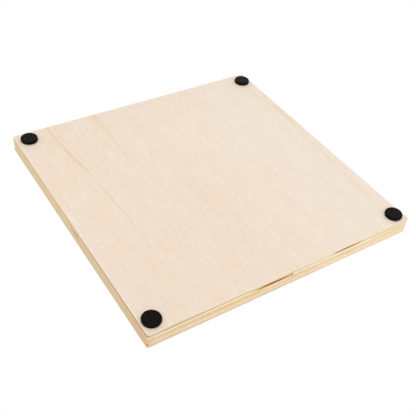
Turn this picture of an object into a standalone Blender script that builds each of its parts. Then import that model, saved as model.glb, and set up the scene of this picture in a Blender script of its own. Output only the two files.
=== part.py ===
"""Square plywood game board on four stuck-on rubber feet.

The panel is seven plies thick, glued with their grain crossed, and its playing face is cut into a field of
square cells. Metres, +Z up, the playing face up, the front towards -Y. The origin lies under the middle of
the board, on the plane that the feet stand on.
"""

import math
from dataclasses import dataclass

import bmesh
import bpy
from mathutils import Matrix, Vector

# Outline of the board
BOARD_SIDE = 0.250
CORNER_RADIUS = 0.0015
ARRIS_RADIUS = 0.0005
CORNER_SEGMENTS = 8
ARRIS_SEGMENTS = 3

# Thickness of each ply, from the underside up, and of the glue line that parts two plies
UNDERSIDE_VENEER_THICKNESS = 0.0007
LOWER_CROSSBAND_THICKNESS = 0.0029
LOWER_INNER_THICKNESS = 0.0016
CORE_THICKNESS = 0.0045
UPPER_INNER_THICKNESS = 0.0016
UPPER_CROSSBAND_THICKNESS = 0.0022
PLAYING_VENEER_THICKNESS = 0.0009
GLUE_LINE = 0.0001

# Playing field: square cells parted by V-shaped grooves in the playing-face veneer
CELLS_PER_SIDE = 10
FIELD_MARGIN = 0.0125
GROOVE_WIDTH = 0.0008
GROOVE_DEPTH_SHARE = 0.45

# Rubber feet and the adhesive discs that hold them
FOOT_DIAMETER = 0.015
FOOT_HEIGHT = 0.0027
FOOT_RIM_RADIUS = 0.0011
FOOT_BACK_RIM_RADIUS = 0.0002
FOOT_INSET = 0.0104
FOOT_SEGMENTS = 48
RIM_SEGMENTS = 5
ADHESIVE_THICKNESS = 0.0004
ADHESIVE_SETBACK = 0.0005
SEAT_GAP = 0.0001

# The feet are stuck on by hand. Each moves inwards along X and Y by these shares of its diameter.
HAND_PLACING_SHARES = {
    "front_left": (-0.06, -0.08),
    "front_right": (-0.12, -0.01),
    "back_left": (-0.06, 0.19),
    "back_right": (0.04, 0.08),
}

# Gaps in the plies that open at the board's edges: how long each is and how deep all of them run
FRONT_INNER_GAP_LENGTH = 0.035
FRONT_CROSSBAND_GAP_LENGTH = 0.029
RIGHT_CORE_GAP_LENGTH = 0.020
EDGE_GAP_DEPTH = 0.004
CUT_OVERRUN = 0.001

# Outline of an edge gap, in shares of its length and height: a long lens with a blunt end
GAP_OUTLINE_SHARES = (
    (-0.50, 0.00),
    (-0.30, -0.22),
    (-0.05, -0.40),
    (0.20, -0.50),
    (0.38, -0.30),
    (0.50, 0.10),
    (0.36, 0.46),
    (0.15, 0.50),
    (-0.10, 0.32),
    (-0.32, 0.14),
)

# Surface colours, linear red, green and blue
FACE_WOOD = (0.83, 0.70, 0.56)
CROSS_WOOD = (0.66, 0.49, 0.30)
PALE_WOOD = (0.80, 0.66, 0.47)
CORE_WOOD = (0.78, 0.58, 0.33)
BLACK_RUBBER = (0.014, 0.013, 0.012)
CLEAR_GLUE = (0.62, 0.60, 0.55)
WOOD_ROUGHNESS = 0.62
RUBBER_ROUGHNESS = 0.78
GLUE_ROUGHNESS = 0.45

# Values that follow from the sizes above
HALF_SIDE = BOARD_SIDE / 2
FOOT_RADIUS = FOOT_DIAMETER / 2
ADHESIVE_RADIUS = FOOT_RADIUS - ADHESIVE_SETBACK
ADHESIVE_BASE = FOOT_HEIGHT + SEAT_GAP
BOARD_BASE = ADHESIVE_BASE + ADHESIVE_THICKNESS + SEAT_GAP
GROOVE_DEPTH = PLAYING_VENEER_THICKNESS * GROOVE_DEPTH_SHARE
FIELD_HALF_SIDE = HALF_SIDE - FIELD_MARGIN
SMOOTH_ANGLE = math.radians(35)


@dataclass(frozen=True)
class EdgeGap:
    """A gap in a ply's edge: where it lies and how large it is.

    The side is the outward direction of the board's edge. Along is the gap's middle as a share of the
    board's side, measured to the right as one faces that edge. Level and height are shares of the ply.
    """

    side: tuple
    along_share: float
    level_share: float
    height_share: float
    length: float
    mirrored: bool = False


@dataclass(frozen=True)
class Ply:
    """One sheet of the panel: its name, thickness, colour, rounded arrises, grooves and edge gaps."""

    name: str
    thickness: float
    colour: tuple
    round_low: bool = False
    round_high: bool = False
    has_field: bool = False
    gaps: tuple = ()


FRONT_SIDE = (0, -1)
RIGHT_SIDE = (1, 0)

PLIES = (
    Ply("underside_veneer", UNDERSIDE_VENEER_THICKNESS, FACE_WOOD, round_low=True),
    Ply(
        "lower_crossband",
        LOWER_CROSSBAND_THICKNESS,
        CROSS_WOOD,
        gaps=(
            EdgeGap(
                side=FRONT_SIDE,
                along_share=-0.228,
                level_share=0.58,
                height_share=0.42,
                length=FRONT_CROSSBAND_GAP_LENGTH,
            ),
        ),
    ),
    Ply(
        "lower_inner_ply",
        LOWER_INNER_THICKNESS,
        PALE_WOOD,
        gaps=(
            EdgeGap(
                side=FRONT_SIDE,
                along_share=0.060,
                level_share=0.40,
                height_share=0.78,
                length=FRONT_INNER_GAP_LENGTH,
                mirrored=True,
            ),
        ),
    ),
    Ply(
        "core_ply",
        CORE_THICKNESS,
        CORE_WOOD,
        gaps=(
            EdgeGap(
                side=RIGHT_SIDE,
                along_share=-0.020,
                level_share=0.21,
                height_share=0.19,
                length=RIGHT_CORE_GAP_LENGTH,
            ),
        ),
    ),
    Ply("upper_inner_ply", UPPER_INNER_THICKNESS, PALE_WOOD),
    Ply("upper_crossband", UPPER_CROSSBAND_THICKNESS, CROSS_WOOD),
    Ply(
        "playing_face_veneer",
        PLAYING_VENEER_THICKNESS,
        FACE_WOOD,
        round_high=True,
        has_field=True,
    ),
)


def clear_scene():
    """Removes every object, so that the file holds only the board."""
    for item in list(bpy.data.objects):
        bpy.data.objects.remove(item, do_unlink=True)


def surface(name, colour, roughness):
    """Returns a plain material with a colour and a roughness."""
    material = bpy.data.materials.new(name)
    material.use_nodes = True
    shader = material.node_tree.nodes["Principled BSDF"]
    shader.inputs["Base Color"].default_value = (*colour, 1)
    shader.inputs["Roughness"].default_value = roughness
    shader.inputs["Metallic"].default_value = 0
    return material


def make_empty(name, location):
    """Returns an empty that carries a group of pieces."""
    empty = bpy.data.objects.new(name, None)
    empty.location = location
    bpy.context.collection.objects.link(empty)
    return empty


def make_object(name, bm, carrier, location, material=None):
    """Turns a bmesh into a smooth-shaded object that hangs on its carrier."""
    bmesh.ops.recalc_face_normals(bm, faces=bm.faces)
    mesh = bpy.data.meshes.new(name)
    bm.to_mesh(mesh)
    bm.free()
    mesh.shade_smooth()
    mesh.set_sharp_from_angle(angle=SMOOTH_ANGLE)
    item = bpy.data.objects.new(name, mesh)
    item.parent = carrier
    item.location = location
    bpy.context.collection.objects.link(item)
    if material:
        mesh.materials.append(material)
    return item


def edges_at(bm, height):
    """Returns the edges that lie flat at a height of the piece's own frame."""
    near = GLUE_LINE / 10
    return [e for e in bm.edges if all(abs(v.co.z - height) < near for v in e.verts)]


def round_edges(bm, edges, radius, segments):
    """Rounds some edges to an arc of the given radius."""
    bmesh.ops.bevel(
        bm,
        geom=edges,
        offset=radius,
        offset_type="OFFSET",
        segments=segments,
        profile=0.5,
        affect="EDGES",
        material=-1,
    )


def ply_blank(ply):
    """Returns a ply as a flat plate with round corners, its lower face on z = 0."""
    bm = bmesh.new()
    bmesh.ops.create_grid(bm, x_segments=1, y_segments=1, size=HALF_SIDE)
    bmesh.ops.bevel(
        bm,
        geom=list(bm.verts),
        offset=CORNER_RADIUS,
        offset_type="OFFSET",
        segments=CORNER_SEGMENTS,
        profile=0.5,
        affect="VERTICES",
        material=-1,
    )
    raised = bmesh.ops.extrude_face_region(bm, geom=list(bm.faces), use_keep_orig=True)
    upper = [g for g in raised["geom"] if isinstance(g, bmesh.types.BMVert)]
    bmesh.ops.translate(bm, verts=upper, vec=Vector((0, 0, ply.thickness)))
    radius = min(ARRIS_RADIUS, ply.thickness)
    if ply.round_low:
        round_edges(bm, edges_at(bm, 0), radius, ARRIS_SEGMENTS)
    if ply.round_high:
        round_edges(bm, edges_at(bm, ply.thickness), radius, ARRIS_SEGMENTS)
    return bm


def cut_playing_field(bm, top):
    """Replaces a plate's top face by a field of cells, each walled off by V-shaped grooves.

    The grid's own lines sink to become the bottoms of the grooves. The cells are inset from them, and one
    more ring outside the field closes the outermost grooves.
    """
    lid = max(bm.faces, key=lambda f: (f.calc_center_median().z, f.calc_area()))
    border = list(lid.edges)
    bmesh.ops.delete(bm, geom=[lid], context="FACES_ONLY")
    plate_faces = set(bm.faces)
    lines = bmesh.ops.create_grid(
        bm,
        x_segments=CELLS_PER_SIDE,
        y_segments=CELLS_PER_SIDE,
        size=FIELD_HALF_SIDE,
        matrix=Matrix.Translation((0, 0, top)),
    )["verts"]
    cells = [f for f in bm.faces if f not in plate_faces]
    rim = [e for e in bm.edges if e.is_boundary and e not in border]
    outer = bmesh.ops.extrude_edge_only(bm, edges=rim)["geom"]
    outer_verts = [g for g in outer if isinstance(g, bmesh.types.BMVert)]
    outer_edges = [g for g in outer if isinstance(g, bmesh.types.BMEdge)]
    reach = (FIELD_HALF_SIDE + GROOVE_WIDTH / 2) / FIELD_HALF_SIDE
    bmesh.ops.scale(bm, verts=outer_verts, vec=(reach, reach, 1))
    bmesh.ops.inset_individual(bm, faces=cells, thickness=GROOVE_WIDTH / 2)
    bmesh.ops.translate(bm, verts=lines, vec=(0, 0, -GROOVE_DEPTH))
    bmesh.ops.triangle_fill(bm, edges=border + outer_edges, use_beauty=True)


def gap_cutter(name, gap, ply, carrier, base):
    """Makes the hidden prism that cuts a gap into a ply, running in from the board's edge."""
    side = Vector((*gap.side, 0))
    rightwards = Vector((-gap.side[1], gap.side[0], 0))
    lean = -1 if gap.mirrored else 1
    middle = (
        side * (HALF_SIDE - EDGE_GAP_DEPTH)
        + rightwards * (BOARD_SIDE * gap.along_share)
        + Vector((0, 0, ply.thickness * gap.level_share))
    )
    height = ply.thickness * gap.height_share
    bm = bmesh.new()
    ring = [
        bm.verts.new(middle + rightwards * (gap.length * x * lean) + Vector((0, 0, height * z)))
        for x, z in GAP_OUTLINE_SHARES
    ]
    end = bm.faces.new(ring)
    pushed = bmesh.ops.extrude_face_region(bm, geom=[end], use_keep_orig=True)
    outer = [g for g in pushed["geom"] if isinstance(g, bmesh.types.BMVert)]
    bmesh.ops.translate(bm, verts=outer, vec=side * (EDGE_GAP_DEPTH + CUT_OVERRUN))
    cutter = make_object(name, bm, carrier, (0, 0, base))
    cutter.hide_render = True
    cutter.display_type = "WIRE"
    return cutter


def make_ply(ply, base, carrier):
    """Makes one ply with its lower face at a height above the board's underside."""
    bm = ply_blank(ply)
    if ply.has_field:
        cut_playing_field(bm, ply.thickness)
    material = surface(ply.name, ply.colour, WOOD_ROUGHNESS)
    item = make_object(ply.name, bm, carrier, (0, 0, base), material)
    for number, gap in enumerate(ply.gaps, 1):
        cut = item.modifiers.new("edge_gap", "BOOLEAN")
        cut.operation = "DIFFERENCE"
        cut.solver = "EXACT"
        cut.object = gap_cutter(f"{ply.name}_gap_cutter_{number}", gap, ply, carrier, base)


def make_board():
    """Stacks the plies from the underside up, a glue line apart."""
    carrier = make_empty("board", (0, 0, BOARD_BASE))
    base = 0
    for ply in PLIES:
        make_ply(ply, base, carrier)
        base += ply.thickness + GLUE_LINE


def disc(radius, height, lower_round, upper_round):
    """Returns an upright disc with rounded rims, its lower face on z = 0."""
    bm = bmesh.new()
    bmesh.ops.create_cone(
        bm,
        cap_ends=True,
        segments=FOOT_SEGMENTS,
        radius1=radius,
        radius2=radius,
        depth=height,
        matrix=Matrix.Translation((0, 0, height / 2)),
    )
    for level, rounding in ((0, lower_round), (height, upper_round)):
        if rounding:
            round_edges(bm, edges_at(bm, level), rounding, RIM_SEGMENTS)
    return bm


def foot_place(place):
    """Returns where a foot's middle stands, from its corner's name."""
    depth_side, width_side = place.split("_")
    inward_x, inward_y = (FOOT_DIAMETER * share for share in HAND_PLACING_SHARES[place])
    x = HALF_SIDE - FOOT_INSET - inward_x
    y = HALF_SIDE - FOOT_INSET - inward_y
    return Vector((x if width_side == "right" else -x, y if depth_side == "back" else -y, 0))


def make_feet():
    """Makes the four rubber feet and the adhesive disc on top of each."""
    for place in HAND_PLACING_SHARES:
        carrier = make_empty(f"{place}_corner", foot_place(place))
        foot = disc(FOOT_RADIUS, FOOT_HEIGHT, FOOT_RIM_RADIUS, FOOT_BACK_RIM_RADIUS)
        rubber = surface(f"rubber_{place}", BLACK_RUBBER, RUBBER_ROUGHNESS)
        make_object(f"foot_{place}", foot, carrier, (0, 0, 0), rubber)
        pad = disc(ADHESIVE_RADIUS, ADHESIVE_THICKNESS, 0, 0)
        glue = surface(f"adhesive_{place}", CLEAR_GLUE, GLUE_ROUGHNESS)
        make_object(f"adhesive_{place}", pad, carrier, (0, 0, ADHESIVE_BASE), glue)


def main():
    """Builds the board and its feet."""
    clear_scene()
    make_board()
    make_feet()


main()
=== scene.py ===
"""Looks of a square plywood number board on four stuck-on rubber feet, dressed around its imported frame."""

import logging
import math
from dataclasses import dataclass, field
from enum import Enum

import bmesh
import bpy
from mathutils import Matrix, Vector


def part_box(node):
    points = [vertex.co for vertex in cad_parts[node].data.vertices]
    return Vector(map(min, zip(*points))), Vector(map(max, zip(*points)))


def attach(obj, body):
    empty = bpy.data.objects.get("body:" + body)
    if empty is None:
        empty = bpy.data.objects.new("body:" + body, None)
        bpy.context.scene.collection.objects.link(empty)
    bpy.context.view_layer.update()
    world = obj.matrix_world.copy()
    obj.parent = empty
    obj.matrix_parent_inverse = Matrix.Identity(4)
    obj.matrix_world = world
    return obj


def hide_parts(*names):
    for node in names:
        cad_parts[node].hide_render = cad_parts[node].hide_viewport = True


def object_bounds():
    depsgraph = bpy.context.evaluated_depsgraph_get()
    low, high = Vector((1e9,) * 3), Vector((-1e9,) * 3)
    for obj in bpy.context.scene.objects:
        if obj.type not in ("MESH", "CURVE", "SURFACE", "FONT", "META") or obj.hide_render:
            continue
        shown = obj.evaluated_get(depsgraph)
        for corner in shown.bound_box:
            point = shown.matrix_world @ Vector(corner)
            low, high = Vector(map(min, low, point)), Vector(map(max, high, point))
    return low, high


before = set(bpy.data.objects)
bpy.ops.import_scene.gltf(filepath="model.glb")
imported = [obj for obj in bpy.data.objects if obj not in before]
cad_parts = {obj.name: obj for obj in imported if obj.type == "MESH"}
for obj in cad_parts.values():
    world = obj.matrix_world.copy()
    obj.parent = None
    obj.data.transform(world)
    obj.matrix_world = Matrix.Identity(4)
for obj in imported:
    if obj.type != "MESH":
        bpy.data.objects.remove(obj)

LOG = logging.getLogger("number_board")
CAD_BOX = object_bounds()
BODY = "root"
IMAGE_WIDTH = 416

# Sizes that the pieces and their finishes share
HALF_SIDE = CAD_BOX[1].x
CORNER_RADIUS = 0.0015
CELL = 0.0225
FIELD_HALF = 0.1125
MM = 0.001
SMOOTH_ANGLE = math.radians(35)
MERGE_DISTANCE = 1e-6

# Where nearly all of a noise's values lie
NOISE_SPAN = (0.3, 0.7)

Colour = tuple[int, int, int]
Point = tuple[float, float, float]
Span = tuple[float, float]
Bands = tuple[tuple[int, int, int, int], ...]
Socket = bpy.types.NodeSocket
Value = float | Socket
Paint = Colour | Socket


def linear(colour: Colour) -> Point:
    """Turns a display colour, from 0 to 255, into the linear one that a shader takes."""
    shares = (channel / 255 for channel in colour)
    return tuple(s / 12.92 if s <= 0.04045 else ((s + 0.055) / 1.055) ** 2.4 for s in shares)


class Grain(Enum):
    """Which way a ply's fibres run."""

    ALONG_X = "along_x"
    ALONG_Y = "along_y"

    def stretch(self, width: float, length: float) -> Point:
        """Gives the pattern's scale on X, Y and Z.

        Args:
            width: how wide a fibre is.
            length: how long a fibre is.

        Returns:
            One over the fibre's size along each axis.
        """
        across, along = 1 / width, 1 / length
        return (along, across, across) if self is Grain.ALONG_X else (across, along, across)


class Sketch:
    """Adds nodes to one node tree and links them. Colours are given as a display shows them."""

    def __init__(self, tree: bpy.types.NodeTree) -> None:
        """Starts on a tree."""
        self.tree = tree

    def add(self, kind: str, feeds: dict | None = None, **settings: object) -> bpy.types.Node:
        """Adds one node.

        Args:
            kind: Blender's name of the node's type.
            feeds: what goes into each input: a value, or another node's output.
            settings: the node's own properties.

        Returns:
            The new node.
        """
        node = self.tree.nodes.new(kind)
        for name, value in settings.items():
            setattr(node, name, value)
        for name, value in (feeds or {}).items():
            socket = node.inputs[name]
            if isinstance(value, Socket):
                self.tree.links.new(value, socket)
            elif socket.type == "RGBA" and len(value) == 3:
                socket.default_value = (*linear(value), 1)
            else:
                socket.default_value = value
        return node

    def math(self, operation: str, *values: Value, clamp: bool = False) -> Socket:
        """Works one sum out on up to three values and returns its output."""
        feeds = dict(enumerate(values))
        return self.add("ShaderNodeMath", feeds, operation=operation, use_clamp=clamp).outputs[0]

    def times(self, first: Value, second: Value) -> Socket:
        """Multiplies two values."""
        return self.math("MULTIPLY", first, second)

    def vector(self, operation: str, *values: Point | Socket) -> Socket:
        """Works one sum out on positions and returns the position that it gives."""
        return self.add("ShaderNodeVectorMath", dict(enumerate(values)), operation=operation).outputs[0]

    def scaled(self, vector: Socket, scale: Point | Socket) -> Socket:
        """Multiplies a position by a scale on each axis."""
        return self.vector("MULTIPLY", vector, scale)

    def shifted(self, vector: Socket, shift: Point | Socket) -> Socket:
        """Adds a shift to a position."""
        return self.vector("ADD", vector, shift)

    def length(self, vector: Socket) -> Socket:
        """Returns a position's distance from the origin."""
        return self.add("ShaderNodeVectorMath", {0: vector}, operation="LENGTH").outputs["Value"]

    def split(self, vector: Socket) -> tuple[Socket, Socket, Socket]:
        """Returns a position's X, Y and Z."""
        return tuple(self.add("ShaderNodeSeparateXYZ", {0: vector}).outputs)

    def joined(self, x: Value, y: Value, z: Value) -> Socket:
        """Puts a position together from its X, Y and Z."""
        return self.add("ShaderNodeCombineXYZ", {0: x, 1: y, 2: z}).outputs[0]

    def noise(self, vector: Socket, scale: float = 1, detail: float = 2, roughness: float = 0.6) -> Socket:
        """Returns a soft random value between 0 and 1 that changes over a position."""
        feeds = {"Vector": vector, "Scale": scale, "Detail": detail, "Roughness": roughness}
        return self.add("ShaderNodeTexNoise", feeds).outputs["Fac"]

    def span(
        self, value: Socket, low: Value, high: Value, start: float = 0, end: float = 1, smooth: bool = True
    ) -> Socket:
        """Maps a value's span from low to high onto start to end, and holds it there beyond.

        Args:
            value: what is mapped.
            low, high: the span that it is read over.
            start, end: what the span's ends become.
            smooth: whether it eases in and out.

        Returns:
            The mapped value.
        """
        feeds = {"Value": value, "From Min": low, "From Max": high, "To Min": start, "To Max": end}
        kind = "SMOOTHSTEP" if smooth else "LINEAR"
        return self.add("ShaderNodeMapRange", feeds, interpolation_type=kind, clamp=True).outputs[0]

    def mixed(self, share: Value, first: Paint, second: Paint, blend: str = "MIX") -> Socket:
        """Mixes two colours by a share and returns the result."""
        feeds = {0: share, 6: first, 7: second}
        return self.add("ShaderNodeMix", feeds, data_type="RGBA", blend_type=blend).outputs[2]

    def banded(self, value: Socket, bands: Bands) -> Socket:
        """Returns the colour that a list of bands gives a value.

        Args:
            value: a share from 0 to 1.
            bands: each band's place, in hundredths, and its colour.

        Returns:
            The colour, eased from band to band.
        """
        node = self.add("ShaderNodeValToRGB", {0: value})
        stops = node.color_ramp.elements
        while len(stops) < len(bands):
            stops.new(1)
        for stop, (place, *colour) in zip(stops, bands):
            stop.position = place / 100
            stop.color = (*linear(colour), 1)
        return node.outputs["Color"]

    def curved(self, value: Socket, points: list[Span]) -> Socket:
        """Reads a smooth curve through a few points.

        Args:
            value: a share from 0 to 1.
            points: pairs of a share and the value there, from 0 to 1.

        Returns:
            The curve's height at the value.
        """
        node = self.add("ShaderNodeFloatCurve", {"Value": value})
        line = node.mapping.curves[0]
        while len(line.points) < len(points):
            line.points.new(1, 1)
        for spot, place in zip(line.points, points):
            spot.location = place
        node.mapping.update()
        return node.outputs[0]


class Effect:
    """A node group that several finishes share. It is built when a finish first uses it."""

    name = "effect"
    takes: tuple[tuple[str, str, object], ...] = ()
    gives: tuple[tuple[str, str], ...] = ()

    def wire(self, sketch: Sketch, given: dict[str, Socket]) -> dict[str, Socket]:
        """Adds the group's own nodes and returns what each of its outputs gets."""
        raise NotImplementedError

    def tree(self) -> bpy.types.NodeTree:
        """Returns the group's node tree, built once."""
        known = bpy.data.node_groups.get(self.name)
        if known:
            return known
        tree = bpy.data.node_groups.new(self.name, "ShaderNodeTree")
        for label, kind, start in self.takes:
            tree.interface.new_socket(label, in_out="INPUT", socket_type=kind).default_value = start
        for label, kind in self.gives:
            tree.interface.new_socket(label, in_out="OUTPUT", socket_type=kind)
        sketch = Sketch(tree)
        entry = sketch.add("NodeGroupInput")
        results = self.wire(sketch, {label: entry.outputs[label] for label, _, _ in self.takes})
        sketch.add("NodeGroupOutput", results)
        return tree

    def use(self, sketch: "MaterialSketch", **feeds: object) -> bpy.types.NodeOutputs:
        """Places the group in a material, whose own position it reads.

        Args:
            sketch: the material's nodes.
            feeds: the group's inputs, with _ for a space in a name.

        Returns:
            The placed group's outputs.
        """
        named = {label.replace("_", " "): value for label, value in feeds.items()}
        if self.takes[0][0] == "Position":
            named["Position"] = sketch.position
        return sketch.add("ShaderNodeGroup", named, node_tree=self.tree()).outputs


FLOAT, VECTOR = "NodeSocketFloat", "NodeSocketVector"
ORIGIN = (0.0, 0.0, 0.0)


class WallDepth(Effect):
    """How far in from the board's wall a point lies, and which pair of walls it is nearest."""

    name = "wall_depth"
    takes = (("Position", VECTOR, ORIGIN),)
    gives = (("Depth", FLOAT), ("Front Wall", FLOAT))
    wall_blend = 0.0015

    def wire(self, sketch: Sketch, given: dict[str, Socket]) -> dict[str, Socket]:
        """Measures the distance to a square with round corners."""
        x, y, _ = sketch.split(given["Position"])
        reach_x, reach_y = (
            sketch.math("SUBTRACT", sketch.math("ABSOLUTE", side), HALF_SIDE - CORNER_RADIUS)
            for side in (x, y)
        )
        outer = sketch.joined(sketch.math("MAXIMUM", reach_x, 0), sketch.math("MAXIMUM", reach_y, 0), 0)
        inner = sketch.math("MINIMUM", sketch.math("MAXIMUM", reach_x, reach_y), 0)
        beyond = sketch.math("ADD", sketch.length(outer), inner)
        lead = sketch.math("SUBTRACT", reach_y, reach_x)
        return {
            "Depth": sketch.math("SUBTRACT", CORNER_RADIUS, beyond),
            "Front Wall": sketch.span(lead, -self.wall_blend, self.wall_blend),
        }


class Fibres(Effect):
    """Wood fibres: short flecks, fine threads and small open pores, all long in the grain's direction."""

    name = "fibres"
    takes = (("Position", VECTOR, ORIGIN), ("Stretch", VECTOR, (800.0, 70.0, 800.0)))
    gives = (("Flecks", FLOAT), ("Threads", FLOAT), ("Pores", FLOAT))
    drift_scale = 9.0
    drift = 0.004
    fleck_span = (0.50, 0.78)
    thread_ratio = (2.6, 0.42, 2.6)
    pore_ratio = (3.8, 4.6, 3.8)
    pore_span = (0.50, 0.76)

    def wire(self, sketch: Sketch, given: dict[str, Socket]) -> dict[str, Socket]:
        """Bends the grain gently, then lays three layers of long noise along it."""
        feeds = {"Vector": given["Position"], "Scale": self.drift_scale, "Detail": 1.0}
        sway = sketch.add("ShaderNodeTexNoise", feeds).outputs["Color"]
        centred = sketch.shifted(sway, (-0.5, -0.5, -0.5))
        bent = sketch.shifted(given["Position"], sketch.scaled(centred, (self.drift,) * 3))
        grid = sketch.scaled(bent, given["Stretch"])
        pores = sketch.noise(sketch.scaled(grid, self.pore_ratio), detail=1, roughness=0.5)
        return {
            "Flecks": sketch.span(sketch.noise(grid), *self.fleck_span),
            "Threads": sketch.noise(sketch.scaled(grid, self.thread_ratio)),
            "Pores": sketch.span(pores, *self.pore_span),
        }


class Streak(Effect):
    """A soft band that follows a line across the surface, such as a mineral streak."""

    name = "streak"
    takes = (
        ("Offset", FLOAT, 0.0),
        ("Half Width", FLOAT, 0.001),
        ("Strength", FLOAT, 1.0),
        ("Ripple", FLOAT, 0.5),
    )
    gives = (("Mask", FLOAT),)
    fade_span = (1.25, 0.25)
    ripple_shares = (0.8, 1.15)

    def wire(self, sketch: Sketch, given: dict[str, Socket]) -> dict[str, Socket]:
        """Fades with the distance from the line, broken up a little by the fibres."""
        near = sketch.math("DIVIDE", sketch.math("ABSOLUTE", given["Offset"]), given["Half Width"])
        full = sketch.times(sketch.span(near, *self.fade_span), given["Strength"])
        broken = sketch.span(given["Ripple"], *NOISE_SPAN, *self.ripple_shares)
        return {"Mask": sketch.math("MULTIPLY", full, broken, clamp=True)}


class StainAndShade(Effect):
    """A soft-edged patch in the wood, round a middle, with a reach along each axis."""

    name = "stain_and_shade"
    takes = (
        ("Position", VECTOR, ORIGIN),
        ("Middle", VECTOR, ORIGIN),
        ("Reach", VECTOR, (0.01, 0.01, 0.01)),
        ("Softness", FLOAT, 0.6),
    )
    gives = (("Mask", FLOAT),)
    ragged_scale = 2.2
    raggedness = 0.5

    def wire(self, sketch: Sketch, given: dict[str, Socket]) -> dict[str, Socket]:
        """Fades with the distance from the middle, measured in reaches and made uneven."""
        offset = sketch.vector("SUBTRACT", given["Position"], given["Middle"])
        shares = sketch.vector("DIVIDE", offset, given["Reach"])
        ragged = sketch.math("SUBTRACT", sketch.noise(shares, self.ragged_scale), 0.5)
        away = sketch.math("ADD", sketch.length(shares), sketch.times(ragged, self.raggedness))
        return {"Mask": sketch.span(away, 1.0, sketch.math("SUBTRACT", 1, given["Softness"]))}


class Clouds(Effect):
    """Soft patches of every size where the wood is a little warmer or darker, and faint long bands."""

    name = "clouds"
    takes = (("Position", VECTOR, ORIGIN), ("Scale", FLOAT, 48.0))
    gives = (("Warmth", FLOAT), ("Darkness", FLOAT), ("Bands", FLOAT))
    patch_stretch = (1.8, 0.70, 1.8)
    patch_detail = 6
    patch_roughness = 1.0
    patch_span = (0.38, 0.62)
    dark_shift = (7.3, 2.9, 4.1)
    band_stretch = (4.2, 0.14, 4.2)

    def wire(self, sketch: Sketch, given: dict[str, Socket]) -> dict[str, Socket]:
        """Reads three unlike noises, the first two a little longer along Y and the third much longer."""
        feeds = {0: given["Position"], "Scale": given["Scale"]}
        base = sketch.add("ShaderNodeVectorMath", feeds, operation="SCALE").outputs[0]
        grid = sketch.scaled(base, self.patch_stretch)
        warmth, darkness = (
            sketch.noise(place, detail=self.patch_detail, roughness=self.patch_roughness)
            for place in (grid, sketch.shifted(grid, self.dark_shift))
        )
        bands = sketch.noise(sketch.scaled(base, self.band_stretch))
        return {
            "Warmth": sketch.span(warmth, *self.patch_span, smooth=False),
            "Darkness": sketch.span(darkness, *self.patch_span, smooth=False),
            "Bands": sketch.span(bands, *NOISE_SPAN, smooth=False),
        }


class SawMarks(Effect):
    """Faint upright lines that a saw and a sander leave on the board's walls."""

    name = "saw_marks"
    takes = (("Position", VECTOR, ORIGIN), ("Front Wall", FLOAT, 0.0))
    gives = (("Lines", FLOAT),)
    line_gap = 0.0013
    lean = 0.22
    upright_scale = 30.0

    def wire(self, sketch: Sketch, given: dict[str, Socket]) -> dict[str, Socket]:
        """Lays upright noise along whichever wall the point is on."""
        x, y, z = sketch.split(given["Position"])
        turn = sketch.times(given["Front Wall"], sketch.math("SUBTRACT", x, y))
        leaned = sketch.math("ADD", sketch.math("ADD", y, turn), sketch.times(z, self.lean))
        along = sketch.math("DIVIDE", leaned, self.line_gap)
        return {"Lines": sketch.noise(sketch.joined(along, sketch.times(z, self.upright_scale), 0))}


class MaterialSketch(Sketch):
    """The nodes of one material round its Principled shader."""

    def __init__(self, name: str, roughness: float, specular: float = 0.5) -> None:
        """Makes the material.

        Args:
            name: the material's name.
            roughness: the shader's roughness, unless a pattern changes it.
            specular: the shader's specular level.
        """
        self.material = bpy.data.materials.new(name)
        self.material.use_nodes = True
        super().__init__(self.material.node_tree)
        self.shader = self.tree.nodes["Principled BSDF"]
        self.roughness = roughness
        self.shader.inputs["Roughness"].default_value = roughness
        self.shader.inputs["Specular IOR Level"].default_value = specular
        self.position = self.add("ShaderNodeTexCoord").outputs["Object"]

    def fibres(self, grain: Grain, size: Span) -> bpy.types.NodeOutputs:
        """Lays wood fibres of a width and length along the grain."""
        return Fibres().use(self, Stretch=grain.stretch(*size))

    def drive(self, label: str, output: Socket) -> None:
        """Links an output to one of the shader's inputs."""
        self.tree.links.new(output, self.shader.inputs[label])

    def roughen(self, pattern: Socket, swing: Span) -> None:
        """Lets the roughness follow a noise, between two offsets from its own value."""
        low, high = (self.roughness + offset for offset in swing)
        self.drive("Roughness", self.span(pattern, *NOISE_SPAN, low, high))

    def finish(self, colour: Socket, height: Socket, bump: Span) -> bpy.types.Material:
        """Gives the shader its colour and a bump.

        Args:
            colour: the surface's colour.
            height: what the bump follows.
            bump: how deep the bump is, and how much of it shows.

        Returns:
            The finished material.
        """
        self.drive("Base Color", colour)
        feeds = {"Height": height, "Distance": bump[0], "Strength": bump[1]}
        self.drive("Normal", self.add("ShaderNodeBump", feeds).outputs[0])
        return self.material


@dataclass(frozen=True)
class Mark:
    """A patch of its own colour at one place of the board: mostly stained wood, and at the edge gaps painted
    shade. Middle and reach are in millimetres.
    """

    colour: Colour
    middle: Point
    reach: Point
    strength: float = 1.0
    softness: float = 0.6

    def paint(self, sketch: MaterialSketch, under: Socket) -> Socket:
        """Lays the mark over a colour and returns the result."""
        mask = StainAndShade().use(
            sketch,
            Middle=tuple(place * MM for place in self.middle),
            Reach=tuple(size * MM for size in self.reach),
            Softness=self.softness,
        )["Mask"]
        return sketch.mixed(sketch.times(mask, self.strength), under, self.colour)


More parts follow.
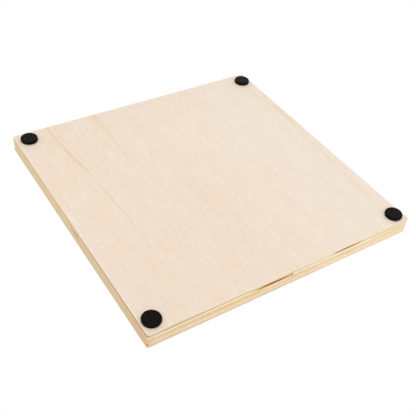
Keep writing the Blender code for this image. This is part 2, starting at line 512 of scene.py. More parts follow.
@dataclass(frozen=True)
class MineralStreak:
    """A coloured streak that runs along the grain.

    Each row of the path gives a place on Y, the streak's X there and its width, all in millimetres, and its
    strength.
    """

    colour: Colour
    path: tuple[tuple[float, float, float, float], ...]
    least_width: float = 0.05

    def paint(self, sketch: MaterialSketch, under: Socket, ripple: Socket) -> Socket:
        """Lays the streak over a colour.

        Args:
            sketch: the material's nodes.
            under: the colour that lies under the streak.
            ripple: the fibres that break the streak up.

        Returns:
            The colour with the streak on it.
        """
        x, y, _ = sketch.split(sketch.position)
        places, sides, widths, powers = zip(*self.path)
        start, end, left, widest = places[0], places[-1], min(sides), max(widths)
        reach = max(max(sides) - left, widest)
        share = sketch.span(y, start * MM, end * MM, smooth=False)
        shares = [(place - start) / (end - start) for place in places]
        lines = [(side - left) / reach for side in sides]
        spreads = [width / widest for width in widths]
        line, spread, power = (
            sketch.curved(share, list(zip(shares, row))) for row in (lines, spreads, powers)
        )
        centre = sketch.math("MULTIPLY_ADD", line, reach * MM, left * MM)
        half = widest / 2 * MM
        mask = Streak().use(
            sketch,
            Offset=sketch.math("SUBTRACT", x, centre),
            Half_Width=sketch.math("MAXIMUM", sketch.times(spread, half), half * self.least_width),
            Strength=power,
            Ripple=ripple,
        )["Mask"]
        return sketch.mixed(mask, under, self.colour)


@dataclass(frozen=True)
class VeneerFinish:
    """A face veneer: creamy wood with soft clouds, fine fibres, streaks and marks."""

    name: str
    pale: Colour
    warm: Colour
    dark: Colour
    fibre: Colour
    pore: Colour
    front_arris: Colour
    side_arris: Colour
    streaks: tuple[MineralStreak, ...] = ()
    marks: tuple[Mark, ...] = ()
    roughness: float = 0.62
    roughness_swing: Span = (0.08, -0.05)
    specular: float = 0.35
    fibre_size: Span = (0.0018, 0.0080)
    arris_reach: float = 0.0005
    band_share: float = 0.30
    dark_share: float = 0.38
    fleck_share: float = 0.44
    thread_span: Span = (0.35, 0.7)
    thread_share: float = 0.53
    pore_share: float = 0.42
    thread_height: float = 0.6
    bump: Span = (0.00006, 0.5)

    def body(self, sketch: MaterialSketch) -> tuple[Socket, bpy.types.NodeOutputs]:
        """Lays out the wood's own colour.

        Args:
            sketch: the material's nodes.

        Returns:
            The colour, and the placed fibres' outputs.
        """
        fibres = sketch.fibres(Grain.ALONG_Y, self.fibre_size)
        clouds = Clouds().use(sketch)
        share = sketch.math("MULTIPLY_ADD", clouds["Bands"], self.band_share, clouds["Warmth"])
        wood = sketch.mixed(sketch.math("DIVIDE", share, 1 + self.band_share), self.pale, self.warm)
        wood = sketch.mixed(sketch.times(clouds["Darkness"], self.dark_share), wood, self.dark)
        wood = sketch.mixed(sketch.times(fibres["Flecks"], self.fleck_share), wood, self.fibre)
        threads = sketch.span(fibres["Threads"], *self.thread_span, 0, self.thread_share)
        wood = sketch.mixed(threads, wood, self.fibre)
        return sketch.mixed(sketch.times(fibres["Pores"], self.pore_share), wood, self.pore), fibres

    def arris(self, sketch: MaterialSketch, under: Socket) -> Socket:
        """Gives the rounded arris and the veneer's wall the colour of sanded end grain."""
        wall = WallDepth().use(sketch)
        edge = sketch.mixed(wall["Front Wall"], self.side_arris, self.front_arris)
        for fade in WALL_FADES:
            edge = fade.paint(sketch, edge)
        return sketch.mixed(sketch.span(wall["Depth"], self.arris_reach, 0), under, edge)

    def finish_face(self, sketch: MaterialSketch, under: Socket) -> Socket:
        """Leaves the face as it is. A face with cuts in it darkens the wood beside them."""
        return under

    def make(self) -> bpy.types.Material:
        """Builds the material."""
        sketch = MaterialSketch(self.name, self.roughness, self.specular)
        wood, fibres = self.body(sketch)
        for mark in self.marks:
            wood = mark.paint(sketch, wood)
        for streak in self.streaks:
            wood = streak.paint(sketch, wood, fibres["Threads"])
        wood = self.finish_face(sketch, self.arris(sketch, wood))
        sketch.roughen(fibres["Threads"], self.roughness_swing)
        threads = sketch.times(fibres["Threads"], self.thread_height)
        height = sketch.math("SUBTRACT", threads, fibres["Pores"])
        return sketch.finish(wood, height, self.bump)


@dataclass(frozen=True)
class PlayingVeneerFinish(VeneerFinish):
    """The playing face's veneer, toasted a little beside the burnt grooves."""

    toast: Colour = (205, 165, 120)
    toast_reach: float = 0.0007
    toast_share: float = 0.75
    toast_scale: float = 900

    def finish_face(self, sketch: MaterialSketch, under: Socket) -> Socket:
        """Toasts the wood beside each groove of the field."""
        gaps, insides = [], []
        for side in sketch.split(sketch.position)[:2]:
            gaps.append(sketch.math("PINGPONG", sketch.math("ADD", side, FIELD_HALF), CELL / 2))
            inside = sketch.math("SUBTRACT", FIELD_HALF + self.toast_reach, sketch.math("ABSOLUTE", side))
            insides.append(sketch.math("GREATER_THAN", inside, 0))
        uneven = sketch.noise(sketch.position, self.toast_scale, roughness=0.5)
        ragged = sketch.times(uneven, -self.toast_reach / 2)
        reach = sketch.math("ADD", sketch.math("MINIMUM", *gaps), ragged)
        haze = sketch.span(reach, self.toast_reach, 0, 0, self.toast_share)
        return sketch.mixed(sketch.times(haze, sketch.times(*insides)), under, self.toast)


@dataclass(frozen=True)
class PlyFinish:
    """The sanded edge of one inner ply: its colours across its thickness, its grain and its marks."""

    grain: Grain
    front_bands: Bands
    side_bands: Bands
    marks: tuple[Mark, ...] = ()
    roughness: float = 0.7
    roughness_swing: Span = (0.08, -0.06)
    specular: float = 0.3
    fibre_size: Span = (0.00045, 0.007)
    wander: float = 0.09
    wander_scale: float = 45
    fibre_shade: float = -0.10
    brightest: float = 1.08
    saw_shades: Span = (0.965, 1.035)
    saw_height: float = 0.7
    gap_start: float = 0.0002
    gap_reach: float = 0.0022
    gap_curve: float = 0.6
    # Colours inside the edge gaps, from rim to floor: partly the exposed wood's orange, partly painted shade
    # that darkens towards the floor
    shaded_gap_rim: Colour = (236, 176, 94)
    shaded_gap_floor: Colour = (222, 152, 68)
    bump: Span = (0.00006, 0.5)

    def edge(self, sketch: MaterialSketch, node: str, front_wall: Socket) -> Socket:
        """Lays the bands of colour across the ply's thickness.

        Args:
            sketch: the material's nodes.
            node: the ply's CAD node, whose box sets where the bands lie.
            front_wall: how much of a point belongs to the front or back wall.

        Returns:
            The edge's colour.
        """
        low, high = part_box(node)
        share = sketch.span(sketch.split(sketch.position)[2], low.z, high.z, smooth=False)
        uneven = sketch.noise(sketch.scaled(sketch.position, (1, 1, 0)), self.wander_scale, 3)
        shift = sketch.span(uneven, *NOISE_SPAN, -self.wander, self.wander, smooth=False)
        level = sketch.math("ADD", share, shift)
        side, front = (sketch.banded(level, bands) for bands in (self.side_bands, self.front_bands))
        return sketch.mixed(front_wall, side, front)

    def make(self, node: str) -> bpy.types.Material:
        """Builds the material.

        Args:
            node: the ply's CAD node.

        Returns:
            The new material.
        """
        sketch = MaterialSketch(node.removesuffix("_ply") + "_wood", self.roughness, self.specular)
        wall = WallDepth().use(sketch)
        wood = self.edge(sketch, node, wall["Front Wall"])
        fibres = sketch.fibres(self.grain, self.fibre_size)
        saw = SawMarks().use(sketch, Front_Wall=wall["Front Wall"])
        shade = sketch.math("MULTIPLY_ADD", fibres["Flecks"], self.fibre_shade, self.brightest)
        shade = sketch.math("MULTIPLY_ADD", fibres["Threads"], self.fibre_shade, shade)
        shade = sketch.times(shade, sketch.span(saw["Lines"], *NOISE_SPAN, *self.saw_shades))
        wood = sketch.mixed(1, wood, sketch.joined(shade, shade, shade), blend="MULTIPLY")
        # Painted shade in the edge gaps: past the wall the wood turns orange and darker with depth, partly
        # its own colour and partly painted shade
        gap = sketch.span(wall["Depth"], self.gap_start, self.gap_reach, smooth=False)
        deep = sketch.mixed(sketch.math("POWER", gap, self.gap_curve), self.shaded_gap_rim, self.shaded_gap_floor)
        wood = sketch.mixed(sketch.span(wall["Depth"], self.gap_start / 2, self.gap_start * 2), wood, deep)
        for mark in WALL_FADES + WALL_STAINS_AND_GAP_SHADE + self.marks:
            wood = mark.paint(sketch, wood)
        sketch.roughen(fibres["Threads"], self.roughness_swing)
        height = sketch.math("ADD", fibres["Threads"], sketch.times(saw["Lines"], self.saw_height))
        return sketch.finish(wood, height, self.bump)


@dataclass(frozen=True)
class BurntFinish:
    """Wood that a laser has burnt: a dark brown with lighter, barely charred fibres."""

    char: Colour = (70, 43, 27)
    brown: Colour = (118, 76, 46)
    fibre_size: Span = (0.0004, 0.004)
    blotch_scale: float = 160
    blotch_span: Span = (0.35, 0.65)
    roughness: float = 0.85
    specular: float = 0.2
    bump: Span = (0.00005, 0.6)

    def make(self) -> bpy.types.Material:
        """Builds the material."""
        sketch = MaterialSketch("burnt_wood", self.roughness, self.specular)
        threads = sketch.fibres(Grain.ALONG_Y, self.fibre_size)["Threads"]
        blotch = sketch.span(sketch.noise(sketch.position, self.blotch_scale, 3), *self.blotch_span)
        burnt = sketch.mixed(sketch.times(blotch, threads), self.char, self.brown)
        return sketch.finish(burnt, threads, self.bump)


@dataclass(frozen=True)
class RubberFinish:
    """Black rubber: a finely rough sole, lighter where it is rubbed, and a darker rim, whose darkness is
    painted shade on the foot's side wall.
    """

    name: str
    sole: Colour = (8, 3, 0)
    # The rim's colour is a shade darker than the sole's: painted shade on the foot's side wall
    rim: Colour = (7, 2, 0)
    dust: Colour = (44, 37, 29)
    roughness: float = 0.39
    roughness_swing: Span = (-0.08, 0.08)
    specular: float = 0.07
    grit_scale: float = 4200
    speckle_scale: float = 1500
    speckle_span: Span = (0.45, 0.75)
    rub_scale: float = 420
    rub_span: Span = (0.3, 0.65)
    sole_rub: float = 0.5
    shaded_rim_dust: float = 0.2
    sole_edge: Span = (1.06, 0.93)
    bump: Span = (0.00005, 0.45)

    def make(self, middle: Vector, sole_radius: float) -> bpy.types.Material:
        """Builds the material.

        Args:
            middle: the foot's middle.
            sole_radius: how far the flat sole reaches from it.

        Returns:
            The new material.
        """
        sketch = MaterialSketch(self.name, self.roughness, self.specular)
        away = sketch.shifted(sketch.position, (-middle.x, -middle.y, 0))
        radius = sketch.length(sketch.scaled(away, (1, 1, 0)))
        on_sole = sketch.span(radius, *(sole_radius * share for share in self.sole_edge))
        grit = sketch.noise(sketch.position, self.grit_scale, 3, 0.7)
        speckle = sketch.noise(sketch.position, self.speckle_scale, 2, 0.7)
        rub = sketch.noise(sketch.position, self.rub_scale, 3)
        dusty = sketch.times(sketch.span(speckle, *self.speckle_span), sketch.span(rub, *self.rub_span))
        # The rim takes less dust than the sole, so it stays darker: a less rubbed rim, and painted shade on
        # the foot's side wall
        share = sketch.math("MULTIPLY_ADD", on_sole, self.sole_rub, self.shaded_rim_dust)
        rubber = sketch.mixed(on_sole, self.rim, self.sole)
        rubber = sketch.mixed(sketch.times(dusty, share), rubber, self.dust)
        sketch.roughen(rub, self.roughness_swing)
        return sketch.finish(rubber, grit, self.bump)


@dataclass(frozen=True)
class GlueFinish:
    """The feet's adhesive: off-white, faintly cloudy and a little shiny."""

    clear: Colour = (214, 208, 196)
    cloudy: Colour = (190, 182, 168)
    haze_scale: float = 700
    haze_span: Span = (0.35, 0.7)
    roughness: float = 0.4
    bump: Span = (0.00003, 0.3)

    def make(self) -> bpy.types.Material:
        """Builds the material."""
        sketch = MaterialSketch("adhesive_film", self.roughness)
        haze = sketch.noise(sketch.position, self.haze_scale, 3)
        film = sketch.mixed(sketch.span(haze, *self.haze_span), self.clear, self.cloudy)
        return sketch.finish(film, haze, self.bump)


# The front right corner is the photograph's nearest one, and Y runs along the face grain
UNDERSIDE_STREAKS = (
    MineralStreak((237, 196, 134), (
        (-60, 82, 1, 0.00), (-45, 82, 1.2, 0.22), (-25, 82.1, 1.3, 0.32), (-12, 83, 1.7, 0.44),
        (12, 84.2, 2.2, 0.50), (31, 85.5, 1.9, 0.50), (50, 86.5, 2.1, 0.54), (75, 90.4, 4.4, 0.60),
        (92, 91.7, 3, 0.50), (110, 92.5, 2.4, 0.48), (125, 93.4, 2.6, 0.95),
    )),
    MineralStreak((240, 203, 146), (
        (85, 86.8, 1, 0.00), (95, 86.9, 1.1, 0.24), (110, 87.1, 1.2, 0.42), (125, 88.3, 1.5, 0.66),
    )),
    MineralStreak((239, 205, 154), (
        (48, 46, 1.2, 0.00), (60, 46.5, 2, 0.38), (75, 47, 3.2, 0.46), (95, 47.2, 4.4, 0.40),
        (110, 47.8, 5.6, 0.42), (125, 49.6, 10, 0.54),
    )),
    MineralStreak((237, 198, 142), (
        (82, 45.2, 1, 0.00), (95, 45.3, 1.2, 0.28), (110, 45.6, 1.2, 0.20), (125, 46.5, 1.7, 0.50),
    )),
    MineralStreak((238, 206, 162), (
        (-112, -110.8, 3.5, 0.00), (-95, -112, 4.2, 0.22), (-62, -114, 4.2, 0.30),
        (-25, -116, 4.6, 0.32), (0, -117.2, 4, 0.32), (25, -118.7, 5, 0.26), (45, -119.8, 5.5, 0.34),
        (62, -119, 5, 0.42), (80, -116.6, 5.2, 0.42), (95, -114, 3.4, 0.28), (108, -112.5, 2.5, 0.00),
    )),
    MineralStreak((247, 236, 222), (
        (0, -65.5, 2.5, 0.00), (12, -63, 4.5, 0.20), (27, -59, 7, 0.25), (45, -54.5, 8, 0.22),
        (62, -52, 9, 0.25), (85, -48.5, 7, 0.18), (118, -45.5, 5, 0.00),
    )),
    MineralStreak((239, 210, 170), (
        (18, -68, 1.2, 0.00), (27, -67, 1.5, 0.26), (45, -62.5, 1.5, 0.20), (60, -59.5, 1.3, 0.26),
        (80, -55.5, 1.2, 0.00),
    )),
)

UNDERSIDE_MARKS = (
    Mark((251, 245, 238), (-115, 0, 3.3), (165, 320, 100), 0.22, 1.0),
    Mark((250, 237, 218), (-5, 60, 3.3), (65, 90, 100), 0.14, 1.0),
    Mark((230, 214, 195), (100, -90, 3.3), (130, 100, 100), 0.30, 1.0),
    Mark((240, 212, 174), (-124, 50, 3.3), (6, 62, 10), 0.42, 0.8),
    Mark((240, 206, 166), (-123.5, 80, 3.3), (7, 3.5, 4), 0.22),
    Mark((240, 206, 166), (-124, 32, 3.3), (6, 4, 4), 0.22),
    Mark((240, 210, 170), (4, 55, 3.3), (5, 26, 10), 0.22, 0.9),
    Mark((236, 178, 112), (124.2, -124.2, 3.8), (1.6, 1.6, 1), 0.80),
    Mark((228, 184, 128), (-124, -124.4, 4), (3, 2, 1), 0.60),
)

# How the walls fade from corner to corner
WALL_FADES = (
    Mark((242, 212, 165), (99, -125, 4), (24, 3, 1.6), 0.50, 0.8),
    Mark((202, 156, 100), (126, -108, 4.2), (3, 42, 1.1), 0.30, 0.8),
    Mark((255, 235, 197), (-95, -125, 10.8), (110, 6, 100), 0.54, 0.6),
    Mark((245, 217, 172), (125, 95, 10.8), (6, 125, 100), 0.25, 0.6),
)

# Stains that cross the plies' edges, most of them round the gaps. The darkest of those reach into the gaps
# and a crack, and are painted shade there.
WALL_STAINS_AND_GAP_SHADE = (
    Mark((206, 162, 102), (125, -115, 10.8), (8, 40, 100), 0.27, 1.0),
    Mark((184, 128, 54), (125, -80, 5), (4, 125, 1.2), 0.90, 0.8),
    Mark((196, 154, 96), (125, 80, 5.2), (4, 90, 1.2), 0.40, 0.8),
    Mark((224, 200, 164), (125, -95, 7), (4, 26, 1), 0.50, 0.8),
    Mark((252, 238, 212), (-25, -125, 8.9), (26, 6, 1.3), 0.50, 0.8),
    Mark((212, 184, 142), (106, -125, 15.2), (26, 6, 0.9), 0.60, 0.7),
    Mark((253, 241, 215), (15, -125, 10.3), (19, 6, 1.3), 0.75, 0.6),
    Mark((250, 234, 205), (22, -125, 4.8), (24, 6, 1.2), 0.70, 0.6),
    Mark((246, 230, 201), (-16, -125, 4.9), (24, 6, 1.3), 0.66, 0.6),
    # Gap 1: an orange patch and a darker one, both reaching into the gap: partly staining, partly painted
    # shade
    Mark((222, 160, 74), (17.2, -125, 7.6), (23.8, 6, 1.5), 0.95, 0.5),
    Mark((172, 98, 20), (18, -125, 7.3), (16, 8, 1.4), 0.95, 0.6),
    # A thin crack drawn as a dark line: painted shade where no cut is made
    Mark((168, 114, 60), (-0.6, -125, 7.4), (2, 6, 1.3), 0.75, 0.7),
    # Gap 2: a dark orange patch that reaches into the gap: partly staining, partly painted shade
    Mark((206, 132, 30), (-58, -125, 5.4), (21.5, 8, 1.3), 0.98, 0.5),
    Mark((232, 196, 138), (-57, -125, 11.2), (23, 6, 1.8), 0.50, 0.8),
    Mark((226, 194, 146), (-100, -125, 6.2), (30, 6, 1.2), 0.50, 0.7),
    Mark((255, 248, 232), (-64, -125, 7.9), (56, 6, 1.1), 0.65, 0.6),
    # The side wall's gap: a dark patch that reaches into it: partly staining, partly painted shade
    Mark((168, 116, 52), (125, -7, 9.7), (8, 13.5, 1), 0.86, 0.7),
    Mark((242, 222, 192), (125, 0, 12), (4, 16, 1.3), 0.70, 0.8),
    Mark((180, 118, 54), (124.8, -124.8, 14), (1.8, 1.6, 1.6), 0.90, 0.8),
    Mark((176, 116, 54), (124.8, -124.8, 17.6), (2, 1.8, 1.2), 0.90, 0.8),
)

PLY_FINISHES = {
    "lower_crossband": PlyFinish(
        grain=Grain.ALONG_X,
        front_bands=(
            (0, 247, 226, 196), (24, 236, 213, 178), (52, 216, 187, 141), (68, 219, 191, 148),
            (86, 232, 210, 173), (100, 243, 226, 196),
        ),
        side_bands=(
            (0, 224, 194, 153), (25, 216, 182, 139), (55, 209, 175, 131), (80, 219, 190, 150),
            (100, 231, 207, 173),
        ),
        marks=(Mark((208, 176, 132), (98.5, -125.2, 6), (32, 4, 2.2), 0.74, 0.6),),
    ),
    "lower_inner_ply": PlyFinish(
        grain=Grain.ALONG_Y,
        front_bands=((0, 246, 232, 206), (30, 254, 244, 224), (60, 250, 237, 213), (100, 234, 208, 170)),
        side_bands=((0, 233, 210, 177), (50, 235, 212, 179), (100, 231, 205, 168)),
    ),
    "core_ply": PlyFinish(
        grain=Grain.ALONG_X,
        front_bands=(
            (0, 230, 201, 158), (25, 231, 200, 153), (55, 236, 204, 154), (85, 240, 208, 158),
            (100, 243, 214, 168),
        ),
        side_bands=((0, 229, 202, 161), (35, 224, 193, 146), (60, 226, 195, 148), (100, 230, 203, 162)),
        marks=(
            Mark((230, 180, 118), (55, -125.2, 11.8), (4, 3, 0.7), 0.45),
            Mark((230, 180, 118), (-59, -125.2, 11.3), (5, 3, 0.6), 0.45),
            Mark((226, 176, 112), (96, -125.2, 10.6), (9, 3, 0.6), 0.35),
        ),
    ),
    "upper_inner_ply": PlyFinish(
        grain=Grain.ALONG_Y,
        front_bands=((0, 240, 214, 174), (50, 244, 224, 192), (100, 246, 229, 203)),
        side_bands=((0, 231, 205, 166), (50, 231, 205, 168), (100, 226, 199, 161)),
    ),
    "upper_crossband": PlyFinish(
        grain=Grain.ALONG_X,
        front_bands=((0, 246, 228, 200), (30, 234, 210, 173), (62, 223, 194, 151), (100, 229, 203, 164)),
        side_bands=((0, 223, 195, 156), (45, 216, 186, 145), (100, 220, 193, 155)),
        marks=(Mark((206, 164, 112), (80, -125.2, 17), (3, 3, 0.6), 0.60),),
    ),
}

UNDERSIDE_FINISH = VeneerFinish(
    name="underside_veneer_wood",
    pale=(246, 236, 225),
    warm=(241, 220, 196),
    dark=(231, 216, 202),
    fibre=(235, 212, 186),
    pore=(222, 194, 163),
    front_arris=(248, 230, 203),
    side_arris=(254, 245, 229),
    streaks=UNDERSIDE_STREAKS,
    marks=UNDERSIDE_MARKS,
)

PLAYING_FINISH = PlayingVeneerFinish(
    name="playing_veneer_wood",
    pale=(242, 228, 210),
    warm=(238, 215, 190),
    dark=(229, 212, 195),
    fibre=(229, 205, 176),
    pore=(212, 184, 150),
    front_arris=(238, 216, 184),
    side_arris=(228, 205, 174),
    fleck_share=0.40,
    pore_share=0.34,
)


def merge(bm: bmesh.types.BMesh) -> None:
    """Joins points that lie at one place."""
    bmesh.ops.remove_doubles(bm, verts=bm.verts, dist=MERGE_DISTANCE)


def add_object(name: str, data: bpy.types.ID) -> bpy.types.Object:
    """Puts a new object in the scene."""
    item = bpy.data.objects.new(name, data)
    bpy.context.scene.collection.objects.link(item)
    return item


def add_piece(
    name: str, bm: bmesh.types.BMesh, materials: list[bpy.types.Material], flat_within: float = 0.0
) -> bpy.types.Object:
    """Turns a bmesh into an object in the scene.

    Args:
        name: the piece's name.
        bm: its shape, in place. It is freed.
        materials: its material slots, in order.
        flat_within: how far from the board's middle lines its faces are shaded flat.

    Returns:
        The new object.
    """
    mesh = bpy.data.meshes.new(name)
    bm.to_mesh(mesh)
    bm.free()
    mesh.set_sharp_from_angle(angle=SMOOTH_ANGLE)
    for polygon in mesh.polygons:
        polygon.use_smooth = max(abs(polygon.center.x), abs(polygon.center.y)) >= flat_within
    for material in materials:
        mesh.materials.append(material)
    return add_object(name, mesh)


def final_mesh(item: bpy.types.Object) -> bpy.types.Mesh:
    """Returns a copy of an object's mesh with its modifiers applied."""
    bpy.context.view_layer.update()
    return bpy.data.meshes.new_from_object(item.evaluated_get(bpy.context.evaluated_depsgraph_get()))


def report(item: bpy.types.Object) -> None:
    """Logs a piece's name and how many faces it has."""
    LOG.info("%s: %d faces", item.name, len(item.data.polygons))


def dress(node: str, material: bpy.types.Material) -> None:
    """Gives every face of a CAD node one finish."""
    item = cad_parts[node]
    item.data.materials.clear()
    item.data.materials.append(material)
    report(item)


@dataclass
class Panel:
    """The glued plies under the playing face. Their solids stay as they are and get their finishes."""

    underside: VeneerFinish = UNDERSIDE_FINISH
    plies: dict[str, PlyFinish] = field(default_factory=lambda: PLY_FINISHES)

    def build(self) -> None:
        """Finishes the underside veneer and each inner ply."""
        dress("underside_veneer", self.underside.make())
        for node, finish in self.plies.items():
            dress(node, finish.make(node))


@dataclass
class PlayingFace:
    """The playing face's veneer: a grooved field of cells, each with its number burnt in."""

    node: str = "playing_face_veneer"
    wood: VeneerFinish = PLAYING_FINISH
    burnt: BurntFinish = BurntFinish()
    cells_per_side: int = 10
    digit_height: float = 0.0088
    digit_share: float = 0.70
    burn_depth: float = 0.00018
    cut_overrun: float = 0.001
    outline_steps: int = 5
    flat_slope: float = 0.99

    def number_mesh(self, number: int) -> bpy.types.Mesh:
        """Makes one number as a thick closed plate, lying in the XY plane.

        Args:
            number: what it says.

        Returns:
            Its mesh, with the number's middle at the origin.
        """
        curve = bpy.data.curves.new(f"number_{number}", "FONT")
        curve.body = str(number)
        curve.resolution_u = self.outline_steps
        curve.size = self.digit_height / self.digit_share
        curve.extrude = (self.burn_depth + self.cut_overrun) / 2
        curve.fill_mode = "NONE"
        text = add_object(curve.name, curve)
        mesh = final_mesh(text)
        bpy.data.objects.remove(text)
        bm = bmesh.new()
        bm.from_mesh(mesh)
        merge(bm)
        rims = [edge for edge in bm.edges if edge.is_boundary]
        for side in (-1, 1):
            rim = [edge for edge in rims if edge.verts[0].co.z * side > 0]
            bmesh.ops.triangle_fill(bm, use_beauty=True, use_dissolve=True, edges=rim)
        corners = [v.co for v in bm.verts]
        low, high = (Vector(end(c[i] for c in corners) for i in range(3)) for end in (min, max))
        bmesh.ops.translate(bm, verts=bm.verts, vec=-(low + high) / 2)
        bm.to_mesh(mesh)
        bm.free()
        return mesh

    def cutter(self, top: float, materials: list[bpy.types.Material]) -> bpy.types.Object:
        """Makes all the numbers' plates, each over its own cell.

        Args:
            top: the height of the playing face.
            materials: the piece's material slots, the burnt one second.

        Returns:
            One object that holds every plate.
        """
        bm = bmesh.new()
        middle_height = top - self.burn_depth + (self.burn_depth + self.cut_overrun) / 2
        for number in range(1, self.cells_per_side**2 + 1):
            row, column = divmod(number - 1, self.cells_per_side)
            x = -FIELD_HALF + (column + 0.5) * CELL
            y = FIELD_HALF - (row + 0.5) * CELL
            mesh = self.number_mesh(number)
            mesh.transform(Matrix.Translation((x, y, middle_height)))
            bm.from_mesh(mesh)
            bpy.data.meshes.remove(mesh)
        merge(bm)
        bmesh.ops.recalc_face_normals(bm, faces=bm.faces)
        for face in bm.faces:
            face.material_index = 1
        return add_piece("number_cutter", bm, materials)

    def build(self) -> None:
        """Cuts the numbers into a copy of the veneer, which stands for the CAD node."""
        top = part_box(self.node)[1].z
        materials = [self.wood.make(), self.burnt.make()]
        bm = bmesh.new()
        bm.from_mesh(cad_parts[self.node].data)
        merge(bm)
        blank = add_piece("playing_face_blank", bm, materials)
        cutter = self.cutter(top, materials)
        cut = blank.modifiers.new("burnt_numbers", "BOOLEAN")
        cut.operation = "DIFFERENCE"
        cut.solver = "EXACT"
        cut.material_mode = "INDEX"
        cut.object = cutter
        bm = bmesh.new()
        bm.from_mesh(final_mesh(blank))
        merge(bm)
        for spare in (blank, cutter):
            bpy.data.objects.remove(spare)
        self.burn_grooves(bm, top)
        item = add_piece("playing_face", bm, materials, flat_within=HALF_SIDE - CORNER_RADIUS)
        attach(item, BODY)
        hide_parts(self.node)
        report(item)

    def burn_grooves(self, bm: bmesh.types.BMesh, top: float) -> None:
        """Gives the grooves' sloping walls the burnt finish.

        Args:
            bm: the engraved veneer.
            top: the height of the playing face.
        """
        reach = FIELD_HALF + CELL / 4
        for face in bm.faces:
            middle = face.calc_center_median()
            inside = max(abs(middle.x), abs(middle.y)) < reach
            if inside and MERGE_DISTANCE < top - middle.z and 0 < face.normal.z < self.flat_slope:
                face.material_index = 1


@dataclass
class RubberFeet:
    """Four turned rubber feet with faintly dished soles, and the glue that holds them."""

    places: tuple[str, ...] = ("front_left", "front_right", "back_left", "back_right")
    turn_steps: int = 96
    arc_steps: int = 8
    dish_steps: int = 6
    dish_depth: float = 0.00010
    lip_width: float = 0.0005
    rim_radius: float = 0.0011
    back_rim_radius: float = 0.0002

    def profile(self, radius: float, height: float) -> list[Span]:
        """Works out the foot's outline from the middle of the sole round to the middle of its back.

        Args:
            radius: the foot's radius.
            height: the foot's height.

        Returns:
            Distances from the foot's axis with their heights.
        """
        dish = radius - self.rim_radius - self.lip_width
        shares = [step / self.dish_steps for step in range(self.dish_steps + 1)]
        points = [(dish * share, self.dish_depth * (1 - share**2)) for share in shares]
        for rounding, middle, start in (
            (self.rim_radius, self.rim_radius, -math.pi / 2),
            (self.back_rim_radius, height - self.back_rim_radius, 0),
        ):
            for step in range(self.arc_steps + 1):
                angle = start + math.pi / 2 * step / self.arc_steps
                out = radius - rounding + rounding * math.cos(angle)
                points.append((out, middle + rounding * math.sin(angle)))
        return points + [(0, height)]

    def build_foot(self, place: str) -> None:
        """Turns one foot where its CAD solid stands.

        Args:
            place: the corner that the foot is under.
        """
        node = f"foot_{place}"
        low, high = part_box(node)
        middle = (low + high) / 2
        radius = (high.x - low.x) / 2
        outline = self.profile(radius, high.z - low.z)
        bm = bmesh.new()
        line = [bm.verts.new((middle.x + out, middle.y, low.z + up)) for out, up in outline]
        edges = [bm.edges.new(pair) for pair in zip(line, line[1:])]
        bmesh.ops.spin(
            bm,
            geom=line + edges,
            cent=middle,
            axis=(0, 0, 1),
            angle=math.tau,
            steps=self.turn_steps,
            use_merge=True,
        )
        merge(bm)
        bmesh.ops.recalc_face_normals(bm, faces=bm.faces)
        rubber = RubberFinish(f"rubber_{place}").make(middle, radius - self.rim_radius)
        item = add_piece(f"rubber_{node}", bm, [rubber])
        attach(item, BODY)
        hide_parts(node)
        report(item)

    def build(self) -> None:
        """Makes the feet and finishes the glue over each."""
        glue = GlueFinish().make()
        for place in self.places:
            self.build_foot(place)
            dress(f"adhesive_{place}", glue)


@dataclass(frozen=True)
class SoftLamp:
    """A square soft lamp that looks at the board."""

    name: str
    place: Point
    size: float
    power: float

    def hang(self, aim: Vector) -> None:
        """Puts the lamp up and turns it to the aim."""
        light = bpy.data.lights.new(self.name, "AREA")
        light.shape = "SQUARE"
        light.size = self.size
        light.energy = self.power
        item = add_object(self.name, light)
        item.location = self.place
        item.rotation_euler = (aim - Vector(self.place)).to_track_quat("-Z", "Y").to_euler()


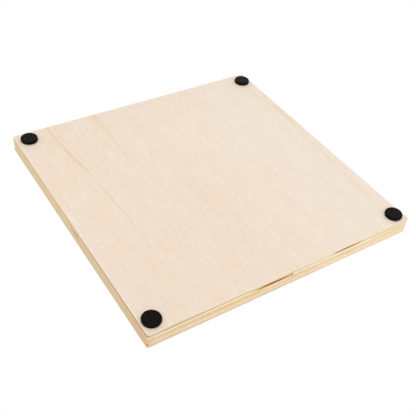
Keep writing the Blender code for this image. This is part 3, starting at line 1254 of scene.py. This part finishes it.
@dataclass
class Studio:
    """Camera, lamps, floor and white room. The camera looks up at the underside, turned upside down."""

    aim: Point = (0.00969, -0.03360, 0.009)
    azimuth: float = 37.548
    elevation: float = -42.312
    distance: float = 0.5755
    roll: float = -173.079
    lens: float = 59.33
    shift: float = -8 / IMAGE_WIDTH
    nearest: float = 0.01
    floor_gap: float = 0.0002
    floor_radius: float = 4.0
    floor_steps: int = 96
    fade_span: Span = (0.35, 1.1)
    floor_grey: float = 0.86
    ambient: float = 0.754
    lamps: tuple[SoftLamp, ...] = (
        SoftLamp("lamp_below", (0.62, -0.87, -2.25), 2.0, 21),
        SoftLamp("lamp_above", (0.62, -0.87, 2.25), 2.0, 21),
        SoftLamp("lamp_behind", (-1.50, 1.75, 0.75), 1.6, 9),
    )

    def place_camera(self) -> None:
        """Sets the camera up where the photograph was taken from."""
        camera = bpy.data.cameras.new("photo_camera")
        camera.lens = self.lens
        camera.shift_x = self.shift
        camera.clip_start = self.nearest
        item = add_object("photo_camera", camera)
        turn, rise = math.radians(self.azimuth), math.radians(self.elevation)
        back = Vector((math.sin(turn) * math.cos(rise), -math.cos(turn) * math.cos(rise), math.sin(rise)))
        item.location = Vector(self.aim) + back * self.distance
        item.rotation_mode = "QUATERNION"
        facing = (-back).to_track_quat("-Z", "Y")
        item.rotation_quaternion = facing @ Matrix.Rotation(math.radians(self.roll), 3, "Z").to_quaternion()
        bpy.context.scene.camera = item

    def light(self) -> None:
        """Hangs the lamps and makes the world a soft white room."""
        for lamp in self.lamps:
            lamp.hang(Vector(self.aim))
        world = bpy.data.worlds.new("white_room")
        world.use_nodes = True
        sketch = Sketch(world.node_tree)
        rays = sketch.add("ShaderNodeLightPath").outputs
        mirrored = sketch.math("MAXIMUM", rays["Is Glossy Ray"], rays["Is Transmission Ray"])
        seen = sketch.math("MAXIMUM", rays["Is Camera Ray"], mirrored)
        strength = sketch.math("MULTIPLY_ADD", seen, 1 - self.ambient, self.ambient)
        background = world.node_tree.nodes["Background"]
        background.inputs["Color"].default_value = (1, 1, 1, 1)
        world.node_tree.links.new(strength, background.inputs["Strength"])
        bpy.context.scene.world = world

    def lay_floor(self) -> None:
        """Lays a pale floor that takes the board's shadow and can't be seen from below."""
        bm = bmesh.new()
        bmesh.ops.create_circle(bm, cap_ends=True, segments=self.floor_steps, radius=self.floor_radius)
        bmesh.ops.translate(bm, verts=bm.verts, vec=(0, 0, -self.floor_gap))
        material = bpy.data.materials.new("pale_floor")
        material.use_nodes = True
        sketch = Sketch(material.node_tree)
        sketch.tree.nodes.remove(sketch.tree.nodes["Principled BSDF"])
        away = sketch.length(sketch.add("ShaderNodeTexCoord").outputs["Object"])
        fade = sketch.span(away, *self.fade_span)
        matt = sketch.add("ShaderNodeBsdfDiffuse", {"Color": (self.floor_grey,) * 3 + (1,)}).outputs[0]
        white = sketch.add("ShaderNodeEmission", {"Color": (1, 1, 1, 1)}).outputs[0]
        clear = sketch.add("ShaderNodeBsdfTransparent").outputs[0]
        back_side = sketch.add("ShaderNodeNewGeometry").outputs["Backfacing"]
        lit = sketch.add("ShaderNodeMixShader", {0: fade, 1: matt, 2: white}).outputs[0]
        shown = sketch.add("ShaderNodeMixShader", {0: back_side, 1: lit, 2: clear}).outputs[0]
        sketch.tree.links.new(shown, sketch.tree.nodes["Material Output"].inputs["Surface"])
        floor = add_piece("studio_floor", bm, [material])
        floor.visible_shadow = False
        floor.visible_diffuse = False
        floor.visible_glossy = False

    def build(self) -> None:
        """Sets up the camera, the light and the floor."""
        self.place_camera()
        self.light()
        self.lay_floor()


def main() -> None:
    """Builds the studio, then the sub-assemblies in order."""
    logging.basicConfig(level=logging.INFO, format="%(name)s %(message)s")
    bpy.context.scene.view_settings.view_transform = "Standard"
    for label, part in (
        ("studio", Studio()),
        ("panel", Panel()),
        ("playing face", PlayingFace()),
        ("rubber feet", RubberFeet()),
    ):
        LOG.info("making the %s", label)
        part.build()


if __name__ == "__main__":
    main()
